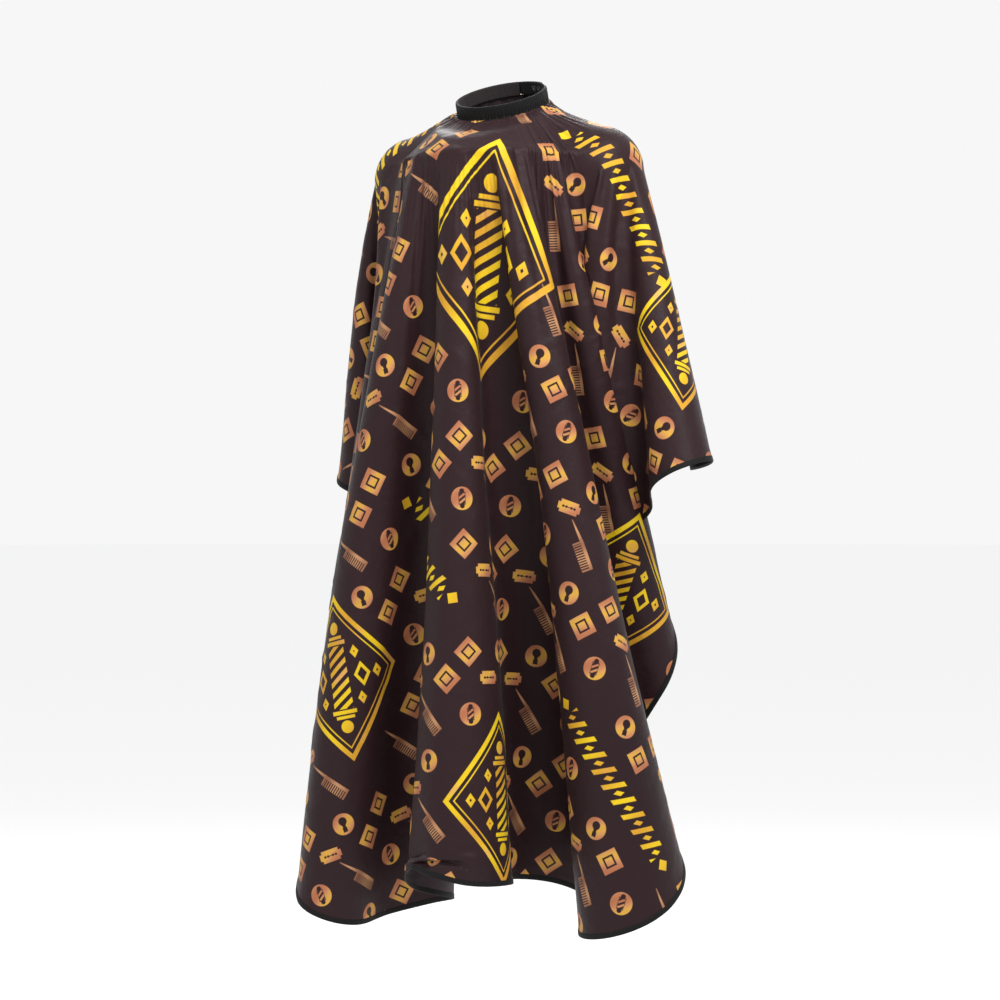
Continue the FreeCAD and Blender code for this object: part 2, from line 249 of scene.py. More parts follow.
def guide(X, Y):
    gx, gy = along_guide(HEM, X)
    w = np.clip((Y - 42) / 55, 0, 1)
    w = w * w * (3 - 2 * w)
    # the outer folds are held out higher up, beside the arms
    rim = np.where(X < 0, np.clip((-X - 36) / 9, 0, 1), np.clip((X - 50) / 8, 0, 1)) * np.clip((Y - 38) / 22, 0, 1)
    w = np.maximum(w, 0.9 * rim) * np.clip((71 - np.abs(X)) / 2, 0, 1)
    side = np.clip((np.abs(X) - 40) / 20, 0, 1) * np.clip(1 - (Y - 50) / 30, 0, 1) * np.clip((Y + 25) / 20, 0, 1)
    sx = np.where(X > 0, 26.5, -24.5) + 0 * Y
    sy = np.where(X > 0, 0.0, 10.0) + 0 * Y
    mx, my = along_guide(MID, X)
    wm = np.exp(-((Y - 47) / 15.0) ** 2) * np.clip((58 - X) / 6, 0, 1) * np.clip((X + 42) / 8, 0, 1)
    ex, ey = along_guide(EDGE, Y)
    we = np.clip((X - 53) / 7, 0, 1) * np.clip((Y - 14) / 8, 0, 1) * np.clip((92 - Y) / 8, 0, 1)
    mx, my = mx * (1 - we) + ex * we, my * (1 - we) + ey * we
    wm = np.maximum(wm, 1.5 * we)
    return gx, gy, w * (1 - 0.7 * np.minimum(wm, 1)), sx, sy, side * (1 - np.minimum(wm, 1)), mx, my, wm


def simulate(c, X, Y, steps, sub, ramp_in, K=60.0, Ks=60.0, gravity=981.0):
    gx, gy, w, sx, sy, side, mx, my, wm = [a.astype(np.float32) for a in guide(X, Y)]
    left = (X < 0).astype(np.float32)
    dt = 1 / 60 / sub
    f = np.zeros_like(c.P)
    for k in range(steps):
        r = min(1.0, k / (steps * 0.3)) if ramp_in else 1.0
        f[0] = r * (K * w * (gx - c.P[0]) + Ks * side * (sx - c.P[0]) + 0.5 * K * wm * (mx - c.P[0]))
        f[1] = r * (K * w * (gy - c.P[1]) + 0.66 * Ks * left * side * (sy - c.P[1]) + 0.5 * K * wm * (my - c.P[1]))
        push = walls(c.P, 500.0 * r)
        f[0] += push * math.cos(AZ)
        f[1] += push * math.sin(AZ)
        c.step(dt, f, 2.0 if (ramp_in and k < steps * 0.5) else 6.0, gravity=gravity)


def refine(A):
    """Doubles a grid's rows and columns along smooth curves."""
    def once(B):
        m = 0.5 * (B[:-1] + B[1:])
        m[1:-1] = (9 * (B[1:-2] + B[2:-1]) - (B[:-3] + B[3:])) / 16
        out = np.empty((2 * B.shape[0] - 1,) + B.shape[1:], B.dtype)
        out[0::2], out[1::2] = B, m
        return out
    A = once(A)
    return np.swapaxes(once(np.swapaxes(A, 0, 1)), 0, 1)


def drape():
    nu, nv = 181, 61
    phi, X, Y = flat_grid(nu, nv)
    # it starts as a flat sheet folded over the line of the shoulders, with its neck hole on the band
    ax = np.abs(X)
    ridge = -0.5 - 0.36 * ax - 0.5 * np.maximum(ax - 20, 0)
    run = np.abs(Y)
    depth = np.where(Y > 0, 11.0, 9.0)
    out = depth * (1 - np.exp(-run / depth))
    down = run - 0.75 * out
    flat = np.stack([X * (0.97 - 0.12 * np.clip((ax - 20) / 20, 0, 1)), -np.sign(Y) * out, ridge - down])
    start = ring_point(phi, RING, -0.95)[:, :, None]
    w = np.clip((np.hypot(X, Y) - R_NECK) / 6.0, 0, 1)[None]
    P = start * (1 - w) + flat * w
    c = Cloth(X, Y, P)
    c.along(1, 0, 0.0), c.along(1, 1, 0.0), c.diagonal(1e-5), c.along(2, 0, 4e-4), c.along(2, 1, 2e-3), c.along(4, 0, 1.2e-3), c.along(4, 1, 3e-3)
    simulate(c, X, Y, 1500, 12, True)
    P = c.P
    X, Y = refine(X), refine(Y)
    P = np.stack([refine(P[k]) for k in range(3)])
    c = Cloth(X, Y, P)
    c.along(1, 0, 0.0), c.along(1, 1, 0.0), c.diagonal(1e-5), c.along(2, 0, 6e-4), c.along(2, 1, 2e-3), c.along(4, 0, 8e-4), c.along(4, 1, 2e-3), c.along(8, 0, 3e-3)
    simulate(c, X, Y, 450, 14, False, K=30.0, Ks=30.0, gravity=350.0)
    P = c.P
    return X.astype(float), Y.astype(float), P.astype(float)


# ------------------------------------------------------------------ mesh helpers
def make_mesh(name, verts, faces, uv=None, smooth=True):
    me = bpy.data.meshes.new(name)
    verts = np.asarray(verts, np.float32)
    faces = np.asarray(faces, np.int32)
    me.vertices.add(len(verts))
    me.vertices.foreach_set("co", verts.ravel())
    me.loops.add(faces.size)
    me.loops.foreach_set("vertex_index", faces.ravel())
    me.polygons.add(len(faces))
    k = faces.shape[1]
    me.polygons.foreach_set("loop_start", np.arange(0, faces.size, k, dtype=np.int32))
    me.polygons.foreach_set("loop_total", np.full(len(faces), k, np.int32))
    me.polygons.foreach_set("use_smooth", np.full(len(faces), smooth))
    if uv is not None:
        layer = me.uv_layers.new(name="UVMap")
        layer.data.foreach_set("uv", np.asarray(uv, np.float32)[faces.ravel()].ravel())
    me.update()
    me.validate()
    o = bpy.data.objects.new(name, me)
    bpy.context.scene.collection.objects.link(o)
    return o


def grid_faces(nu, nv, wrap_u=False, wrap_v=False, flip=False):
    iu = np.arange(nu if wrap_u else nu - 1)
    jv = np.arange(nv if wrap_v else nv - 1)
    I, J = np.meshgrid(iu, jv, indexing="ij")
    a = I * nv + J
    b = ((I + 1) % nu) * nv + J
    c = ((I + 1) % nu) * nv + (J + 1) % nv
    d = I * nv + (J + 1) % nv
    f = np.stack([a, b, c, d] if not flip else [a, d, c, b], -1)
    return f.reshape(-1, 4)


def grid_normals(P):
    du = np.gradient(P, axis=1)
    dv = np.gradient(P, axis=2)
    n = np.cross(dv.transpose(1, 2, 0), du.transpose(1, 2, 0)).transpose(2, 0, 1)
    return n / (np.sqrt((n ** 2).sum(0)) + 1e-12)


def smooth_noise(x, seed, octaves=3):
    """Seeded smooth 1D noise, about -1 to 1."""
    r = np.random.default_rng(seed)
    out = np.zeros_like(np.asarray(x, float))
    for o in range(octaves):
        t = r.uniform(-1, 1, 4096)
        q = np.asarray(x, float) * 2 ** o + 57.3 * o
        i = np.floor(q).astype(int)
        f = q - i
        f = f * f * (3 - 2 * f)
        out += (t[i % 4096] * (1 - f) + t[(i + 1) % 4096] * f) / 2 ** o
    return out / 1.6


def noise2(x, y, seed):
    """Seeded smooth 2D noise, about -1 to 1."""
    r = np.random.default_rng(seed).uniform(-1, 1, (97, 89))
    i, j = np.floor(x).astype(int), np.floor(y).astype(int)
    f, g = x - i, y - j
    f, g = f * f * (3 - 2 * f), g * g * (3 - 2 * g)
    at = lambda a, b: r[a % 97, b % 89]
    return (at(i, j) * (1 - f) + at(i + 1, j) * f) * (1 - g) + (at(i, j + 1) * (1 - f) + at(i + 1, j + 1) * f) * g


def loft(name, S, uv=None, caps=True):
    """A closed skin through loops of points: S is (3, stations, points round). Loops run out along one side and back along the other."""
    ns, m = S.shape[1:]
    f = grid_faces(ns, m, wrap_v=True)
    if caps:
        k = np.arange(m // 2 - 1)
        cap = np.stack([k, k + 1, m - 2 - k, m - 1 - k], -1)
        f = np.concatenate([f, cap, cap[:, ::-1] + (ns - 1) * m])
    V = S.reshape(3, -1).T
    a, b, c, d = (V[f[:, i]] for i in range(4))
    vol = (a * np.cross(b, c)).sum() + (a * np.cross(c, d)).sum()
    if vol < 0:
        f = f[:, ::-1]
    return make_mesh(name, V, f, uv)


def stitches(name, path, normal, length=0.0024, gap=0.0009, radius=0.00022, lift=0.00008):
    """A row of separate stitches sitting on a surface, along a line of points with the surface's normals."""
    seg = np.sqrt((np.diff(path, axis=1) ** 2).sum(0))
    s = np.concatenate([[0], np.cumsum(seg)])
    n = max(1, int(s[-1] / (length + gap)))
    start = (np.arange(n) + 0.5) * s[-1] / n - length / 2
    at = np.array([0.0, 0.14, 0.5, 0.86, 1.0])
    rad = np.array([0.35, 0.9, 1.0, 0.9, 0.35]) * radius
    sink = np.array([-1.0, 0.0, 0.35, 0.0, -1.0]) * radius
    q = start[:, None] + at[None, :] * length
    c = np.stack([np.interp(q, s, path[k]) for k in range(3)])
    nn = np.stack([np.interp(q, s, normal[k]) for k in range(3)])
    t = np.stack([np.interp(q + 1e-4, s, path[k]) - np.interp(q - 1e-4, s, path[k]) for k in range(3)])
    t /= np.sqrt((t ** 2).sum(0)) + 1e-12
    nn -= t * (nn * t).sum(0)
    nn /= np.sqrt((nn ** 2).sum(0)) + 1e-12
    side = np.cross(t.transpose(1, 2, 0), nn.transpose(1, 2, 0)).transpose(2, 0, 1)
    ang = np.linspace(0, 2 * np.pi, 6, endpoint=False)
    V = (c + nn * (lift + sink))[..., None] + rad[None, None, :, None] * (side[..., None] * np.cos(ang) * 1.25 + nn[..., None] * np.sin(ang))
    V = V.reshape(3, n, 30)
    one = grid_faces(5, 6, wrap_v=True)
    cap = np.array([[0, 1, 4, 5], [1, 2, 3, 4]])
    one = np.concatenate([one, cap, cap[:, ::-1] + 24])
    v0 = V[:, 0].T
    a, b, cc, d = (v0[one[:, i]] for i in range(4))
    if (a * np.cross(b, cc)).sum() + (a * np.cross(cc, d)).sum() < 0:
        one = one[:, ::-1]
    faces = (one[None] + 30 * np.arange(n)[:, None, None]).reshape(-1, 4)
    return make_mesh(name, V.reshape(3, -1).T, faces)


X, Y, P = drape()
X, Y = refine(X), refine(Y)
P = np.stack([refine(P[k]) for k in range(3)])
nu, nv = X.shape
PHI_I = np.arctan2(X[:, 1], Y[:, 1])
EDGE_I = np.hypot(X[:, -1], Y[:, -1])
phi = PHI_I[:, None]
dist = np.hypot(X, Y) - R_NECK
# next to the neckband the cloth leaves its lower edge and falls away from it
ct, st = math.cos(TILT), math.sin(TILT)
rise = P[2] * ct - P[1] * st
rise_f = -(P[1] * ct + P[2] * st)
over_by = np.maximum(rise - (-0.72 - 0.20 * np.minimum(dist, 3.0)), 0)
drop = over_by * np.clip((9.0 - dist) / 5.0, 0, 1) * np.clip((0.6 + np.cos(phi)) / 0.7, 0, 1)
P[1] += drop * st
P[2] -= drop * ct
n0 = grid_normals(P)
# gathers where the cloth is sewn into the neckband: short tight ones, and a few that run further down
tight = np.sin(phi * 66 + 2.2 * smooth_noise(phi * 5 + 40, 3)) * np.exp(-dist / 2.0) * (0.65 + 0.35 * smooth_noise(phi * 9 + 11, 5))
wide = np.sin(phi * 25 + 3.0 * smooth_noise(phi * 4 + 40, 8)) * np.exp(-dist / 5.0) * (0.55 + 0.45 * smooth_noise(phi * 6 + 70, 9))
lift = (0.085 * tight + 0.15 * wide) * np.clip(dist / 0.5, 0, 1)
# small creases left by folding and handling
a1 = noise2(X / 7.0 + 31 + 0.35 * noise2(X / 4 + 9, Y / 4 + 50, 21), Y / 9.5 + 40, 22)
a2 = noise2((X + 0.6 * Y) / 5.2 + 60, (Y - 0.6 * X) / 12.0 + 60, 23)
ridge = np.exp(-(a1 / 0.16) ** 2) * np.clip(noise2(X / 16 + 20, Y / 16 + 30, 24) + 0.45, 0, 1) - 0.35
ridge2 = np.exp(-(a2 / 0.14) ** 2) * np.clip(noise2(X / 19 + 50, Y / 15 + 10, 25) + 0.35, 0, 1) - 0.3
calm = np.clip(dist / 9.0, 0, 1) * np.clip((EDGE_I[:, None] - np.hypot(X, Y)) / 2.0, 0, 1)
a3 = noise2((X - 0.8 * Y) / 3.4 + 70, (Y + 0.8 * X) / 7.5 + 45, 26)
ridge3 = np.exp(-(a3 / 0.15) ** 2) * np.clip(noise2(X / 12 + 35, Y / 12 + 66, 27) + 0.2, 0, 1) - 0.2
lift = lift + (0.12 * ridge + 0.11 * ridge2 + 0.06 * ridge3) * calm
# slight puckers along the bound edge
edge_gap = EDGE_I[:, None] - np.hypot(X, Y)
run = np.concatenate([[0], np.cumsum(np.hypot(np.diff(X[:, -1]), np.diff(Y[:, -1])))])[:, None]
lift = lift + 0.06 * smooth_noise(run / 1.9 + 5, 31, 2) * np.exp(-edge_gap / 1.8) * (edge_gap > 0) + 0.05 * smooth_noise(run / 1.9 + 5, 31, 2) * (edge_gap <= 0)
P = P + n0 * lift
tuck = (np.clip((np.degrees(PHI_I) - 114) / 5, 0, 1) + np.clip((-175 - np.degrees(PHI_I)) / 2, 0, 1))[None]
P[:, :, 0] = ring_point(PHI_I, RING - 0.16 * tuck[0], -0.93)
PANEL = P / 100.0
PANEL_N = grid_normals(PANEL)
CLOTH_T = 0.0005


def cloth_at(x, y, G):
    """Values of grid G at points of the flat cloth (cm)."""
    ph = np.arctan2(x, y)
    u = np.interp(ph, PHI_I, np.arange(nu))
    e = np.interp(ph, PHI_I, EDGE_I)
    v = np.clip((np.hypot(x, y) - R_NECK) / (e - R_NECK), 0, 1) ** (1 / 1.08) * (nv - 1)

    def cubic(t):
        return 0.5 * np.stack([-t + 2 * t ** 2 - t ** 3, 2 - 5 * t ** 2 + 3 * t ** 3, t + 4 * t ** 2 - 3 * t ** 3, -t ** 2 + t ** 3])

    i, j = np.clip(np.floor(u).astype(int), 0, nu - 2), np.clip(np.floor(v).astype(int), 0, nv - 2)
    wu, wv = cubic(u - i), cubic(v - j)
    out = 0
    for a in range(4):
        for b in range(4):
            out = out + G[:, np.clip(i + a - 1, 0, nu - 1), np.clip(j + b - 1, 0, nv - 1)] * (wu[a] * wv[b])
    return out


# ------------------------------------------------------------------ shader helpers
class Net:
    """Short names for math nodes. A point is a vector socket in centimetres on the flat cloth, x to the wearer's left, y down."""

    def __init__(self, mat):
        mat.use_nodes = True
        self.t = mat.node_tree
        self.t.nodes.clear()

    def add(self, kind, **props):
        n = self.t.nodes.new(kind)
        for k, v in props.items():
            setattr(n, k, v)
        return n

    def put(self, sock, value):
        if isinstance(value, bpy.types.NodeSocket):
            self.t.links.new(value, sock)
        elif isinstance(value, tuple):
            sock.default_value = value if len(value) > 2 or len(sock.default_value) == 2 else value + (0.0,)
        else:
            sock.default_value = value

    def m(self, op, a, b=None, c=None, clamp=False):
        n = self.add("ShaderNodeMath", operation=op, use_clamp=clamp)
        for i, v in enumerate((a, b, c)):
            if v is not None:
                self.put(n.inputs[i], v)
        return n.outputs[0]

    def v(self, op, a, b=None, c=None, scale=None):
        n = self.add("ShaderNodeVectorMath", operation=op)
        for i, v in enumerate((a, b, c)):
            if v is not None:
                self.put(n.inputs[i], v)
        if scale is not None:
            self.put(n.inputs["Scale"], scale)
        return n.outputs[1] if op in ("LENGTH", "DISTANCE", "DOT_PRODUCT") else n.outputs[0]

    # distances: negative inside
    def circle(self, p, c, r):
        return self.m("SUBTRACT", self.v("DISTANCE", p, c), r)

    def ring(self, p, c, r, w):
        return self.m("SUBTRACT", self.m("ABSOLUTE", self.circle(p, c, r)), w)

    def taper(self, p, a, b, ra, rb=None):
        bx, by = b[0] - a[0], b[1] - a[1]
        q = self.v("SUBTRACT", p, a)
        l2 = bx * bx + by * by
        t = self.m("ADD", self.v("DOT_PRODUCT", q, (bx / l2, by / l2, 0.0)), 0.0, clamp=True)
        near = self.v("SCALE", (bx, by, 0.0), scale=t)
        d = self.v("DISTANCE", q, near)
        if rb is None or rb == ra:
            return self.m("SUBTRACT", d, ra)
        return self.m("SUBTRACT", d, self.m("MULTIPLY_ADD", t, rb - ra, ra))

    def box(self, p, c, hx, hy, ang=0.0):
        q = self.v("SUBTRACT", p, c)
        if ang:
            ca, sa = math.cos(ang), math.sin(ang)
            x = self.v("DOT_PRODUCT", q, (ca, sa, 0.0))
            y = self.v("DOT_PRODUCT", q, (-sa, ca, 0.0))
            x, y = self.m("ABSOLUTE", x), self.m("ABSOLUTE", y)
            return self.m("MAXIMUM", self.m("SUBTRACT", x, hx), self.m("SUBTRACT", y, hy))
        s = self.add("ShaderNodeSeparateXYZ")
        self.put(s.inputs[0], self.v("SUBTRACT", self.v("ABSOLUTE", q), (hx, hy, 0.0)))
        return self.m("MAXIMUM", s.outputs[0], s.outputs[1])

    def union(self, *d):
        out = d[0]
        for x in d[1:]:
            out = self.m("MINIMUM", out, x)
        return out

    def less(self, a, b):
        """a without b."""
        return self.m("MAXIMUM", a, self.m("MULTIPLY", b, -1.0))

    def xy(self, p):
        s = self.add("ShaderNodeSeparateXYZ")
        self.put(s.inputs[0], p)
        return s.outputs[0], s.outputs[1]

    def vec(self, x, y):
        n = self.add("ShaderNodeCombineXYZ")
        self.put(n.inputs[0], x)
        self.put(n.inputs[1], y)
        return n.outputs[0]

    def turn(self, p, centre, angle, scale=1.0):
        """Coordinates in a motif's own frame: moved to its centre, turned by angle, and scaled."""
        q = self.v("SUBTRACT", p, centre)
        n = self.add("ShaderNodeVectorRotate", rotation_type="Z_AXIS")
        self.put(n.inputs["Vector"], q)
        self.put(n.inputs["Angle"], -angle)
        return self.v("SCALE", n.outputs[0], scale=1.0 / scale)

    def mix(self, a, b, t):
        n = self.add("ShaderNodeMix", data_type="RGBA")
        self.put(n.inputs[0], t)
        self.put(n.inputs[6], a)
        self.put(n.inputs[7], b)
        return n.outputs[2]

    def noise(self, vec, scale, detail=2.0, rough=0.5, dim="3D"):
        n = self.add("ShaderNodeTexNoise", noise_dimensions=dim)
        self.put(n.inputs["Vector"], vec)
        n.inputs["Scale"].default_value = scale
        n.inputs["Detail"].default_value = detail
        n.inputs["Roughness"].default_value = rough
        return n.outputs[0]

    def wave(self, vec, scale, direction="X", distortion=0.0):
        n = self.add("ShaderNodeTexWave", wave_type="BANDS", bands_direction=direction)
        self.put(n.inputs["Vector"], vec)
        n.inputs["Scale"].default_value = scale
        n.inputs["Distortion"].default_value = distortion
        return n.outputs[1]

    def bump(self, height, dist, strength=1.0, normal=None):
        n = self.add("ShaderNodeBump")
        n.inputs["Strength"].default_value = strength
        n.inputs["Distance"].default_value = dist
        self.put(n.inputs["Height"], height)
        if normal is not None:
            self.put(n.inputs["Normal"], normal)
        return n.outputs[0]

    def surface(self, color, rough, normal=None, **fixed):
        b = self.add("ShaderNodeBsdfPrincipled")
        self.put(b.inputs["Base Color"], color)
        self.put(b.inputs["Roughness"], rough)
        if normal is not None:
            self.put(b.inputs["Normal"], normal)
        for k, v in fixed.items():
            b.inputs[k.replace("_", " ")].default_value = v
        o = self.add("ShaderNodeOutputMaterial")
        self.t.links.new(b.outputs[0], o.inputs[0])
        return b


def srgb(r, g, b):
    f = lambda c: (c / 255 / 12.92) if c <= 10 else ((c / 255 + 0.055) / 1.055) ** 2.4
    return (f(r), f(g), f(b), 1.0)


COPPER, ROSE, GOLD, YELLOW = srgb(152, 94, 64), srgb(178, 124, 86), srgb(184, 140, 56), srgb(204, 172, 24)
AMBER, PEACH, TAN_DARK, TAN = srgb(184, 134, 38), srgb(190, 138, 90), srgb(124, 82, 60), srgb(164, 120, 84)
GROUND, GROUND_DARK = srgb(42, 25, 28), srgb(31, 18, 20)
LATTICE = (-0.7, 6.5)
PX, PY = 13.0, 14.3
# where the large prints and the striped ribbons are: centre on the flat cloth, turn, size
EMBLEMS = [((5.2, 31.0), 0.0, 1.0), ((4.5, 103.8), 0.0, 0.70), ((51.5, 58.0), -0.2, 0.70), ((-40.0, 79.0), 0.15, 0.70), ((46.5, 4.5), -1.13, 0.66)]
RIBBONS = [((-16.0, 6.2), -0.42), ((26.0, 6.3), -0.04), ((-12.5, 68.5), 0.70), ((45.5, 92.0), 0.65)]


def wrapped(N, p, off):
    n = N.add("ShaderNodeVectorMath", operation="WRAP")
    N.put(n.inputs[0], N.v("SUBTRACT", p, off))
    n.inputs[1].default_value = (PX / 2, PY / 2, 1.0)
    n.inputs[2].default_value = (-PX / 2, -PY / 2, -1.0)
    return n.outputs[0]


def diamond_motif(N, q):
    """Straight-sided lozenge with an open lozenge inside it."""
    x, y = N.xy(N.v("ABSOLUTE", q))
    d = N.m("MULTIPLY", N.m("SUBTRACT", N.m("ADD", x, y), 2.05), 0.707)
    return N.less(d, N.m("SUBTRACT", N.m("ABSOLUTE", N.m("ADD", d, 0.78)), 0.13))


def pole_motif(N, q):
    """Disc with a striped pole between two caps."""
    d = N.circle(q, (0.0, 0.0, 0.0), 1.54)
    x, y = N.xy(q)
    stripe = N.m("SUBTRACT", N.m("PINGPONG", N.m("MULTIPLY_ADD", x, 0.75, y), 0.36), 0.18)
    pole = N.m("MAXIMUM", N.box(q, (0.0, 0.0, 0.0), 0.44, 0.78), stripe)
    sides = N.m("MAXIMUM", N.box(q, (0.0, 0.0, 0.0), 0.50, 0.78), N.m("MULTIPLY", N.box(q, (0.0, 0.0, 0.0), 0.43, 0.9), -1.0))
    pole = N.union(pole, sides)
    qa = N.v("ABSOLUTE", q)
    caps = N.union(N.circle(qa, (0.0, 0.98, 0.0), 0.34), N.box(qa, (0.0, 0.76, 0.0), 0.50, 0.08))
    return N.less(N.less(d, pole), caps)


def brush_motif(N, q):
    """Disc with a shaving brush."""
    d = N.circle(q, (0.0, 0.0, 0.0), 1.54)
    brush = N.union(N.circle(q, (0.0, -0.42, 0.0), 0.60), N.taper(q, (0.0, -0.2), (0.0, 0.38), 0.40, 0.22), N.box(q, (0.0, 0.82, 0.0), 0.33, 0.36))
    return N.less(d, brush)


def blade_motif(N, q):
    """Razor blade with its slot."""
    d = N.union(N.box(q, (0.0, 0.0, 0.0), 1.28, 0.86), N.box(q, (0.0, 0.0, 0.0), 1.62, 0.46))
    qa = N.v("ABSOLUTE", q)
    slot = N.union(N.circle(qa, (0.36, 0.0, 0.0), 0.17), N.box(q, (0.0, 0.0, 0.0), 0.95, 0.06), N.circle(qa, (0.82, 0.0, 0.0), 0.17))
    return N.less(d, slot)


def small_tools(N, q):
    """Small plain tail comb."""
    q = N.turn(q, (0.0, 0.0, 0.0), 0.9)
    x, y = N.xy(q)
    spine = N.box(q, (0.9, -0.52, 0.0), 2.0, 0.24)
    teeth = N.m("MAXIMUM", N.box(q, (0.9, 0.25, 0.0), 1.95, 0.62), N.m("SUBTRACT", N.m("PINGPONG", x, 0.17), 0.085))
    guard = N.union(N.box(q, (2.78, 0.12, 0.0), 0.12, 0.70), N.box(q, (-0.98, 0.12, 0.0), 0.12, 0.70))
    return N.union(spine, teeth, guard, N.taper(q, (-1.0, -0.50), (-4.1, -0.30), 0.23, 0.07))


FRAME_X, FRAME_Y = 13.0, 16.0


def lozenge(N, qa, cx, cy, hx, hy):
    """Distance to a straight-sided diamond, for a point qa with both coordinates already positive."""
    k = 1.0 / math.hypot(1 / hx, 1 / hy)
    q = N.v("ABSOLUTE", N.v("SUBTRACT", qa, (cx, cy, 0.0)))
    return N.m("SUBTRACT", N.v("DOT_PRODUCT", q, (k / hx, k / hy, 0.0)), k)


def emblem(N, q):
    """Distance to the large print: a double-line diamond frame round an upright striped pole, with lozenges beside it."""
    qa = N.v("ABSOLUTE", q)
    side = lozenge(N, qa, 0.0, 0.0, FRAME_X, FRAME_Y)
    out = N.m("SUBTRACT", N.m("ABSOLUTE", side), 0.46)
    out = N.union(out, N.m("SUBTRACT", N.m("ABSOLUTE", N.m("ADD", side, 1.25)), 0.13))
    # pole: slanted stripes, collars and round caps
    stripe = N.m("SUBTRACT", N.m("PINGPONG", N.v("DOT_PRODUCT", q, (0.7, 1.0, 0.0)), 1.0), 0.5)
    out = N.union(out, N.m("MAXIMUM", stripe, N.box(q, (0.0, 0.0, 0.0), 2.0, 6.2)))
    out = N.union(out, N.box(qa, (0.0, 6.85, 0.0), 2.5, 0.38))
    out = N.union(out, N.box(qa, (0.0, 7.85, 0.0), 1.9, 0.30))
    out = N.union(out, N.circle(qa, (0.0, 9.75, 0.0), 1.25))
    # lozenges each side, smaller towards the frame
    for cx, cy, hx, hy in ((4.9, 0.0, 1.7, 2.5), (4.1, 4.6, 0.9, 1.3), (8.1, 0.0, 1.0, 1.4)):
        gem = lozenge(N, qa, cx, cy, hx, hy)
        out = N.union(out, N.m("SUBTRACT", N.m("ABSOLUTE", N.m("ADD", gem, 0.30)), 0.30))
    return out


def ribbon(N, q):
    """A slim band of slanted barber stripes with a small lozenge between each pair, and a diamond at each end."""
    x, y = N.xy(q)
    ay = N.m("ABSOLUTE", y)
    run = N.m("MULTIPLY_ADD", y, 0.45, x)
    bar = N.m("SUBTRACT", N.m("ABSOLUTE", N.m("WRAP", run, 1.2, -1.2)), 0.36)
    bars = N.m("MAXIMUM", bar, N.m("SUBTRACT", ay, 1.5))
    gem = N.m("SUBTRACT", N.m("ADD", N.m("ABSOLUTE", N.m("WRAP", N.m("ADD", run, 1.2), 1.2, -1.2)), N.m("MULTIPLY", ay, 0.62)), 0.42)
    band = N.m("MAXIMUM", N.union(bars, gem), N.m("SUBTRACT", N.m("ABSOLUTE", x), 11.4))
    ends = N.m("SUBTRACT", N.m("ADD", N.m("ABSOLUTE", N.m("SUBTRACT", N.m("ABSOLUTE", x), 12.9)), ay), 0.95)
    return N.union(band, ends)


def nearest_frame(N, p, places):
    """The point in the frame of whichever place is nearest (scaled by its size), and its scaled distance from that
    place's centre.
    """
    best = size = dist = None
    for centre, turn, *s in places:
        s = s[0] if s else 1.0
        q = N.turn(p, centre + (0.0,), turn, s)
        d = N.v("LENGTH", q)
        if best is None:
            best, dist, size = q, d, s
            continue
        pick = N.m("LESS_THAN", d, dist)
        n = N.add("ShaderNodeMix", data_type="VECTOR")
        N.put(n.inputs[0], pick)
        N.put(n.inputs[4], best)
        N.put(n.inputs[5], q)
        best, dist = n.outputs[1], N.m("MINIMUM", d, dist)
    return best, dist


def ink(N, d, soft=0.035):
    return N.m("MULTIPLY_ADD", d, -0.5 / soft, 0.5, clamp=True)


def clear_of_large(N, centre):
    """1 where a small motif's centre stands clear of the large prints and the ribbons."""
    d = None
    for c, turn, size in EMBLEMS:
        k = 1.0 / math.hypot(1 / FRAME_X, 1 / FRAME_Y)
        fx, fy = (FRAME_Y, FRAME_X) if abs(turn) > 0.8 else (FRAME_X, FRAME_Y)
        e = N.m("SUBTRACT", N.v("DOT_PRODUCT", N.v("ABSOLUTE", N.v("SUBTRACT", centre, c + (0.0,))), (k / fx, k / fy, 0.0)), k * size + 2.7)
        d = e if d is None else N.m("MINIMUM", d, e)
    for c, turn in RIBBONS:
        ux, uy = math.cos(turn) * 12.2, math.sin(turn) * 12.2
        e = N.taper(centre, (c[0] - ux, c[1] - uy), (c[0] + ux, c[1] + uy), 3.9)
        d = N.m("MINIMUM", d, e)
    return N.m("GREATER_THAN", d, 0.0)


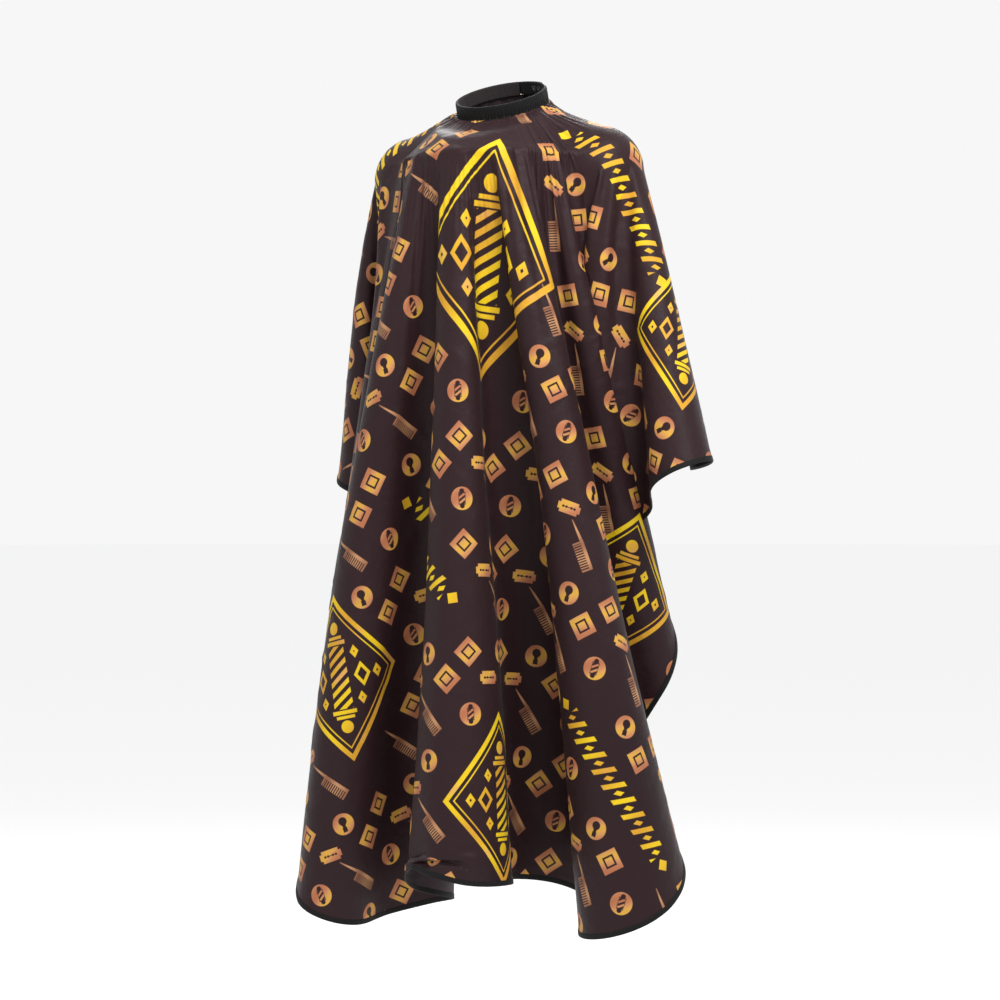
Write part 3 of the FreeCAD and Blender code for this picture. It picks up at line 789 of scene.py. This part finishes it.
def cloth_print(N, p, world):
    """Ground colour with the all-over print; returns colour and how much of it is ink."""
    e, _ = nearest_frame(N, p, EMBLEMS)
    big = emblem(N, e)
    r, _ = nearest_frame(N, p, RIBBONS)
    big = N.union(big, ribbon(N, r))
    bigmask = ink(N, big, 0.05)
    lat = N.v("SUBTRACT", p, LATTICE + (0.0,))
    small = None
    for off, motif in (((0.0, 0.0), pole_motif), ((PX / 2, 6.0), brush_motif), ((0.0, 6.0), diamond_motif), ((PX / 4, 9.5), blade_motif), ((3 * PX / 4, 9.5), diamond_motif)):
        q = wrapped(N, lat, off)
        k = N.m("MULTIPLY", ink(N, motif(N, q)), clear_of_large(N, N.v("SUBTRACT", p, q)))
        small = k if small is None else N.m("MAXIMUM", small, k)
    q = wrapped(N, lat, (PX / 2, 0.0))
    tools = N.m("MULTIPLY", ink(N, small_tools(N, q)), clear_of_large(N, N.v("SUBTRACT", p, q)))
    # foil-like gradients: copper at the upper left of each motif, gold at the lower right
    x, y = N.xy(lat)
    ramp = N.m("ADD", N.m("MULTIPLY", x, 2 * math.pi / (PX / 2)), N.m("MULTIPLY", y, 2 * math.pi / (PY / 3)))
    grad = N.m("MULTIPLY_ADD", N.m("SINE", N.m("SUBTRACT", ramp, 0.5)), 0.5, 0.5)
    foil = N.mix(COPPER, ROSE, grad)
    foil = N.mix(foil, GOLD, N.m("MULTIPLY", N.m("MULTIPLY", grad, grad), grad))
    tan = N.mix(TAN_DARK, TAN, grad)
    ex, ey = N.xy(e)
    sweep = N.m("MULTIPLY_ADD", N.m("SINE", N.m("MULTIPLY_ADD", ex, 0.42, N.m("MULTIPLY", ey, 0.30))), 0.5, 0.5)
    bright = N.mix(AMBER, YELLOW, sweep)
    worn = N.noise(N.v("SCALE", p, scale=0.22), 1.0, 2.0)
    bright = N.mix(bright, PEACH, N.m("MULTIPLY_ADD", worn, 5.0, -2.95, clamp=True))
    wash = N.noise(world, 2.2, 2.0)
    ground = N.mix(GROUND_DARK, GROUND, wash)
    col = N.mix(ground, foil, small)
    col = N.mix(col, tan, tools)
    col = N.mix(col, bright, bigmask)
    # the dye takes unevenly thread by thread
    fleck = N.noise(world, 520.0, 1.0)
    col = N.mix(col, GROUND_DARK, N.m("MULTIPLY", fleck, 0.16))
    return col, N.m("MAXIMUM", N.m("MAXIMUM", small, tools), bigmask)


def flat_point(N):
    uv = N.add("ShaderNodeUVMap", uv_map="UVMap")
    return N.v("MULTIPLY_ADD", uv.outputs[0], (140.0, 155.0, 0.0), (-70.0, -35.0, 0.0))


def cloth_relief(N, p, world):
    """Weave at thread scale, soft handling creases above it."""
    warp = N.wave(p, 13.0, "X")
    weft = N.wave(p, 13.0, "Y")
    weave = N.m("MULTIPLY", warp, weft)
    crease = N.noise(world, 26.0, 3.0, 0.55)
    fine = N.noise(world, 95.0, 2.0, 0.5)
    b = N.bump(crease, 0.006, 0.4)
    b = N.bump(fine, 0.001, 0.25, b)
    return N.bump(weave, 0.00012, 0.5, b)


def material(name):
    return bpy.data.materials.new(name)


mat_print = material("printed_satin")
N = Net(mat_print)
pos = N.add("ShaderNodeTexCoord").outputs["Object"]
p = flat_point(N)
col, inked = cloth_print(N, p, pos)
rough = N.m("MULTIPLY_ADD", inked, 0.05, 0.42)
N.surface(col, rough, cloth_relief(N, p, pos), Sheen_Weight=0.02, Sheen_Roughness=0.4, Specular_IOR_Level=0.11)

mat_inside = material("cloth_wrong_side")
N = Net(mat_inside)
pos = N.add("ShaderNodeTexCoord").outputs["Object"]
p = flat_point(N)
base = N.mix(srgb(46, 36, 40), srgb(58, 46, 50), N.noise(pos, 3.0))
N.surface(base, 0.55, cloth_relief(N, p, pos), Sheen_Weight=0.02, Sheen_Roughness=0.5, Specular_IOR_Level=0.11)


def plain_weave(name, dark, light, scale=900.0, rough=0.72, sheen=0.04):
    mat = material(name)
    N = Net(mat)
    pos = N.add("ShaderNodeTexCoord").outputs["Object"]
    a = N.wave(pos, scale / 6.0, "X")
    b = N.wave(pos, scale / 6.0, "Z")
    w = N.m("MULTIPLY", a, b)
    n = N.noise(pos, 60.0, 3.0)
    base = N.mix(dark, light, N.m("MULTIPLY_ADD", w, 0.5, N.m("MULTIPLY", n, 0.5)))
    bump = N.bump(n, 0.0012, 0.4)
    N.surface(base, rough, N.bump(w, 0.0002, 0.5, bump), Sheen_Weight=sheen, Sheen_Roughness=0.5, Specular_IOR_Level=0.16)
    return mat


mat_tape = plain_weave("binding_tape_weave", srgb(5, 5, 5), srgb(14, 13, 13))
mat_band = plain_weave("neckband_weave", srgb(5, 5, 5), srgb(14, 13, 13), rough=0.7)
mat_band_in = plain_weave("neckband_inner_weave", srgb(30, 25, 26), srgb(44, 37, 38), rough=0.8)
mat_thread = plain_weave("sewing_thread", srgb(9, 9, 9), srgb(30, 29, 29), scale=3000.0, rough=0.5)


def metal(name, colour, rough, metallic=1.0, coat=0.0):
    mat = material(name)
    N = Net(mat)
    pos = N.add("ShaderNodeTexCoord").outputs["Object"]
    n = N.noise(pos, 400.0, 3.0)
    base = N.mix(tuple(c * 0.8 for c in colour[:3]) + (1.0,), colour, n)
    N.surface(base, N.m("MULTIPLY_ADD", n, 0.18, rough), N.bump(n, 0.00003, 0.4), Metallic=metallic, Coat_Weight=coat)
    return mat


mat_elastic = plain_weave("elastic_rib", srgb(20, 19, 19), srgb(48, 46, 46), scale=1400.0, rough=0.8)
mat_nickel = metal("snap_nickel", srgb(190, 188, 184), 0.22)
mat_enamel = metal("snap_enamel", srgb(22, 22, 23), 0.30, 0.0, 0.3)


# ------------------------------------------------------------------ the cape's cloth
def cape_cloth():
    N0 = nu * nv
    outer = PANEL.reshape(3, -1).T
    inner = (PANEL - PANEL_N * CLOTH_T).reshape(3, -1).T
    f = grid_faces(nu, nv, flip=True)
    idx = np.arange(N0).reshape(nu, nv)
    loop = np.concatenate([idx[::-1, 0], idx[0, 1:], idx[1:, -1], idx[-1, ::-1][1:]])
    p, q = loop[:-1], loop[1:]
    rim = np.stack([q, p, p + N0, q + N0], -1)
    uv = np.stack([(X + 70) / 140, (Y + 35) / 155], -1).reshape(-1, 2)
    o = make_mesh("cape_cloth", np.concatenate([outer, inner]), np.concatenate([f, f[:, ::-1] + N0, rim]), np.concatenate([uv, uv]))
    o.data.materials.append(mat_print)
    o.data.materials.append(mat_inside)
    o.data.polygons.foreach_set("material_index", np.repeat([0, 1, 0], [len(f), len(f), len(rim)]).astype(np.int32))
    return o


cape = cape_cloth()

# ------------------------------------------------------------------ binding tape folded over the cut edges
TAPE = [(0.68, 0, -0.15), (0.68, 0, 0.30), (0.64, 0, 0.52), (0.585, 0, 0.56), (0.545, 0, 0.42), (0.505, 0, 0.58), (0.40, 0, 0.66), (0.22, 0, 0.70), (0.07, 0, 0.68), (0, 0.25, 0.56), (0, 0.60, 0.15),
        (0, 0.60, -0.65), (0, 0.25, -1.06), (0.07, 0, -1.18), (0.22, 0, -1.20), (0.40, 0, -1.16), (0.505, 0, -1.08), (0.545, 0, -0.92), (0.585, 0, -1.06), (0.64, 0, -1.02), (0.68, 0, -0.80), (0.68, 0, -0.35)]


def tape_along(name, bx, by, seed, step=0.25):
    """Binding over the edge bx, by (flat cm). Returns the tape and the lines of stitching on its two faces."""
    s = np.concatenate([[0], np.cumsum(np.hypot(np.diff(bx), np.diff(by)))])
    n = int(s[-1] / step) + 1
    q = np.linspace(0, s[-1], n)
    bx, by = np.interp(q, s, bx), np.interp(q, s, by)
    tx, ty = np.gradient(bx), np.gradient(by)
    k = np.ones(9) / 9
    tx, ty = (np.convolve(np.pad(t, 4, mode="edge"), k, "valid") for t in (tx, ty))
    ln = np.hypot(tx, ty)
    ix, iy = -ty / ln, tx / ln
    mid = len(bx) // 2
    test = np.hypot(bx[mid] + ix[mid] - 0, by[mid] + iy[mid] - 0)
    ph = np.arctan2(bx[mid] + ix[mid], by[mid] + iy[mid])
    inside = abs(ph) < PHI_I[-1] and test < np.interp(ph, PHI_I, EDGE_I)
    if not inside:
        ix, iy = -ix, -iy
    pucker = smooth_noise(q / 0.9, seed, 2) * 0.14
    base = cloth_at(bx, by, PANEL)
    near = cloth_at(bx + 0.22 * ix, by + 0.22 * iy, PANEL)
    e = near - base
    e /= np.sqrt((e ** 2).sum(0)) + 1e-12
    wob = 0.012 * smooth_noise(q / 2.3, seed + 1, 2)
    S = np.empty((3, n, len(TAPE)))
    for j, (d, ext, h) in enumerate(TAPE):
        dd = d + (wob if d > 0.3 else 0)
        pt = cloth_at(bx + dd * ix, by + dd * iy, PANEL)
        nn = cloth_at(bx + dd * ix, by + dd * iy, PANEL_N)
        nn /= np.sqrt((nn ** 2).sum(0)) + 1e-12
        hh = h + (pucker * (0.6 if h > 0 else -0.6) if abs(h) > 0.5 and d > 0.1 else 0)
        S[:, :, j] = pt + nn * (hh * 1e-3) - e * (ext * 1e-3)
    uv = np.stack([np.broadcast_to(q[:, None] / 100, (n, len(TAPE))), np.broadcast_to(np.array([t[0] for t in TAPE])[None] / 10, (n, len(TAPE)))], -1).reshape(-1, 2)
    tape = loft(name, S, uv)
    tape.data.materials.append(mat_tape)
    seams = []
    for h, sgn in ((0.50, 1), (-0.98, -1)):
        pt = cloth_at(bx + 0.545 * ix, by + 0.545 * iy, PANEL)
        nn = cloth_at(bx + 0.545 * ix, by + 0.545 * iy, PANEL_N)
        nn /= np.sqrt((nn ** 2).sum(0)) + 1e-12
        seams.append((pt + nn * (h * 1e-3), nn * sgn))
    return tape, seams


hem_tape, hem_seams = tape_along("hem_tape", X[:, -1], Y[:, -1], 41)
right_tape, right_seams = tape_along("back_edge_tape_right", X[0, 1:], Y[0, 1:], 45)
left_tape, left_seams = tape_along("back_edge_tape_left", X[-1, 1:], Y[-1, 1:], 49)
threads = []
for label, seams in (("hem", hem_seams), ("back_edge_right", right_seams), ("back_edge_left", left_seams)):
    for side, (pt, nn) in zip(("outer", "inner"), seams):
        t = stitches(f"{label}_stitching_{side}", pt, nn)
        t.data.materials.append(mat_thread)
        threads.append(t)


# ------------------------------------------------------------------ gathered neckband
def band_world(phi, r, h):
    return ring_point(phi, r, h) / 100.0


def neckband():
    a = np.radians(np.linspace(-177.5, 118.0, 1500))
    arc = a * 6.4
    fade = np.clip((np.degrees(a) + 172) / 14, 0, 1) * np.clip((114 - np.degrees(a)) / 10, 0, 1)
    ph = arc * (2 * np.pi / 0.43) + 2.6 * smooth_noise(arc / 1.1 + 30, 61, 3)
    amp = 0.62 + 0.38 * smooth_noise(arc / 0.8 + 90, 62, 2)
    rib = (np.abs(np.sin(ph / 2)) ** 0.75 * 2 - 1) * amp
    rib2 = np.sin(ph * 0.47 + 1.0) * (0.5 + 0.5 * smooth_noise(arc / 1.7, 63, 2))
    ruffle = np.sin(ph * 0.5 + 0.6 * smooth_noise(arc / 0.6, 64, 2))
    outer_h = np.concatenate([np.linspace(-1.0, 0.72, 17), [0.80, 0.88]])
    S, uv = [], []
    for h in outer_h:
        down = np.clip((0.86 - h) / 1.86, 0, 1)
        r = 6.585 + 0.045 * math.sin(math.pi * np.clip((h + 1) / 2, 0, 1)) + 0.115 * fade * rib * down ** 0.75 + 0.05 * fade * rib2 * down
        r = r + 0.13 * fade * np.clip(-(h + 0.62) / 0.38, 0, 1) ** 1.5 * (0.75 + 0.6 * ruffle)
        hh = h + 0.045 * fade * np.clip(-(h + 0.3) / 0.7, 0, 1) * (ruffle + 0.6 * rib)
        S.append(band_world(a, r, hh)), uv.append((arc, h))
    for r, h in ((6.59, 0.95), (6.50, 0.995), (6.38, 1.0), (6.27, 0.97)):
        S.append(band_world(a, r + 0.010 * rib * fade, h + 0.012 * rib * fade)), uv.append((arc, h + 0.4))
    inner_h = np.linspace(0.88, -0.94, 15)
    for h in inner_h:
        r = 6.215 - 0.035 * fade * rib2 * np.clip((0.9 - h) / 1.8, 0, 1) - 0.02 * fade * rib
        S.append(band_world(a, r, h)), uv.append((arc, 3 - h))
    for r, h in ((6.26, -0.985), (6.40, -1.0), (6.52, -1.0)):
        S.append(band_world(a, r + 0 * a, h + 0 * a)), uv.append((arc, 5 - h + r))
    if len(S) % 2:
        S.append(0.5 * (S[-1] + S[0])), uv.append((arc, 12.0))
    m = len(S)
    S = np.stack(S, -1)
    UV = np.stack([np.stack([u + 0 * a for u, _ in uv], -1), np.stack([v + 0 * a for _, v in uv], -1)], -1).reshape(-1, 2) / 10
    o = loft("neckband", S, UV)
    o.data.materials.append(mat_band)
    o.data.materials.append(mat_band_in)
    k = len(outer_h) + 4
    co = np.tile(np.arange(m), 1499)
    idx = np.zeros(len(o.data.polygons), np.int32)
    idx[:len(co)] = ((co >= k - 1) & (co < k + 15)).astype(np.int32)
    o.data.polygons.foreach_set("material_index", idx)
    return o, a, fade, rib


band, band_a, band_fade, band_rib = neckband()
a = np.radians(np.linspace(-176, 117, 1400))
top = stitches("neckband_stitching", band_world(a, 6.632, 0.66), (band_world(a, 6.9, 0.66) - band_world(a, 6.5, 0.66)) / 0.004, length=0.0022, gap=0.001)
top.data.materials.append(mat_thread)
threads.append(top)


# ------------------------------------------------------------------ closure tabs
def tab(name, az0, az1, r_in, r_out, half, corner0, corner1, puff=0.02):
    """A stitched tab wrapped round the neck, in cm, with its ends' corners rounded."""
    rm = 0.5 * (r_in + r_out)
    L = math.radians(az1 - az0) * rm
    t = np.linspace(0, 1, 161)
    s = L * (0.5 - 0.5 * np.cos(np.pi * t)) * 0.35 + L * t * 0.65
    hm = np.full_like(s, half)
    for c, d in ((corner0, s), (corner1, L - s)):
        if c > 0:
            hm = np.where(d < c, half - c + np.sqrt(np.maximum(c * c - (c - np.minimum(d, c)) ** 2, 0)), hm)
    hm = np.maximum(hm, 0.02)
    edge = np.minimum(1.0, np.minimum(s, L - s) / 0.06)
    edge = np.sqrt(np.clip(1 - (1 - edge) ** 2, 0.04, 1))
    phi_ = np.radians(az0) + s / rm
    T = 0.5 * (r_out - r_in)
    S, k = [], 13
    hs = np.sin(np.linspace(-0.5, 0.5, k) * np.pi)
    groove = lambda d: -0.012 * np.exp(-((d - 0.22) / 0.03) ** 2)
    for side in (1, -1):
        for u in (hs if side > 0 else hs[::-1]):
            h = u * hm
            gap = np.minimum(hm - np.abs(h), np.minimum(s, L - s))
            rnd = np.sqrt(np.clip(1 - (1 - np.clip(gap / 0.07, 0, 1)) ** 2, 0.03, 1))
            off = T * rnd * edge + (puff * np.clip(gap / 0.4, 0, 1) + groove(gap)) * (side > 0)
            S.append(band_world(phi_, rm + side * off, h))
    S = np.stack(S, -1)
    m = S.shape[2]
    uv = np.stack([np.broadcast_to(s[:, None] / 10, (len(s), m)), np.broadcast_to(np.arange(m)[None] / m, (len(s), m))], -1).reshape(-1, 2)
    o = loft(name, S, uv)
    o.data.materials.append(mat_band)
    # a row of stitching all round, set in from the edge
    inset = 0.22
    w, hh = L / 2 - inset, half - inset
    pts = []
    for cx, cy, c, a0 in ((w, hh, corner1, 0), (-w, hh, corner0, 90), (-w, -hh, corner0, 180), (w, -hh, corner1, 270)):
        c = max(c - inset, 0.05)
        for q in np.radians(np.linspace(a0, a0 + 90, 9)):
            pts.append((cx - math.copysign(c, cx) + c * math.cos(q), cy - math.copysign(c, cy) + c * math.sin(q)))
    pts.append(pts[0])
    pts = np.array(pts)
    d = np.concatenate([[0], np.cumsum(np.hypot(*np.diff(pts, axis=0).T))])
    q = np.linspace(0, d[-1], 600)
    sx, sy = np.interp(q, d, pts[:, 0]), np.interp(q, d, pts[:, 1])
    ph = np.radians(az0) + (sx + L / 2) / rm
    rr = r_out + puff * 0.5 - 0.006
    path = band_world(ph, rr, sy)
    nrm = band_world(ph, rr + 1, sy) - path
    th = stitches(name + "_stitching", path, nrm / 0.01, length=0.0021, gap=0.0009)
    th.data.materials.append(mat_thread)
    return o, th


under, under_thread = tab("under_tab", 116.5, 178.5, 6.26, 6.46, 0.96, 0.0, 0.45, 0.012)
over, over_thread = tab("over_tab", 141.0, 190.0, 6.68, 6.86, 0.90, 0.55, 0.0, 0.012)


# ------------------------------------------------------------------ carried-over solids
def dress(node, mat):
    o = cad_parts[node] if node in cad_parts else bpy.data.objects[node]
    o = o if hasattr(o, "data") else bpy.data.objects[node]
    o.data.materials.clear()
    o.data.materials.append(mat)


for node, mat in (("neck_elastic", mat_elastic), ("snap_studs", mat_nickel), ("snap_stud_washers", mat_nickel), ("snap_sockets", mat_nickel), ("snap_caps", mat_enamel)):
    dress(node, mat)

for piece in [cape, hem_tape, right_tape, left_tape, band, under, under_thread] + threads:
    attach(piece, "root")
for piece in (over, over_thread):
    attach(piece, "closure_tab")
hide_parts("cape_panel")
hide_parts("hem_binding")
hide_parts("back_edge_binding_right")
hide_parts("back_edge_binding_left")
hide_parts("neckband_casing")
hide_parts("under_tab_lining", "under_tab_stiffener", "under_tab_face")
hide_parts("over_tab_lining", "over_tab_stiffener", "over_tab_face")

# ------------------------------------------------------------------ floor and light
floor_n = 96
ang = np.linspace(0, 2 * np.pi, floor_n, endpoint=False)
rad = np.array([0.01, 2.0, 6.0, 14.0, 30.0, 60.0])
FV = np.stack([rad[None] * np.cos(ang)[:, None], rad[None] * np.sin(ang)[:, None], np.full((floor_n, len(rad)), -1.62)], -1).reshape(-1, 3)
floor = make_mesh("studio_floor", FV, grid_faces(floor_n, len(rad), wrap_u=True, flip=True))
mat_floor = material("studio_floor")
N = Net(mat_floor)
N.surface((0.97, 0.97, 0.975, 1.0), 0.9, Specular_IOR_Level=0.0)
floor.data.materials.append(mat_floor)

world = bpy.data.worlds.new("studio")
bpy.context.scene.world = world
world.use_nodes = True
bg = world.node_tree.nodes["Background"]
bg.inputs[0].default_value = (1.0, 1.0, 1.0, 1.0)
bg.inputs[1].default_value = 0.93


def area_light(name, az, el, dist_, size, power, target=(0, 0, -0.55)):
    d = bpy.data.lights.new(name, "AREA")
    d.shape, d.size, d.energy = "DISK", size, power
    o = bpy.data.objects.new(name, d)
    bpy.context.scene.collection.objects.link(o)
    ca = math.radians(az)
    p_ = np.array([math.sin(ca) * math.cos(math.radians(el)), -math.cos(ca) * math.cos(math.radians(el)), math.sin(math.radians(el))]) * dist_ + np.array(target)
    o.location = tuple(p_)
    import mathutils
    v = mathutils.Vector(target) - mathutils.Vector(tuple(p_))
    o.rotation_euler = v.to_track_quat("-Z", "Y").to_euler()
    return o


area_light("key", 48, 42, 2.3, 0.9, 74.0, (0, 0, -0.28))
area_light("fill", -12, 14, 3.4, 1.4, 14.0)
area_light("back", 205, 40, 3.4, 1.6, 44.0)
bpy.context.scene.view_settings.view_transform = "Standard"
bpy.context.scene.view_settings.look = "None"
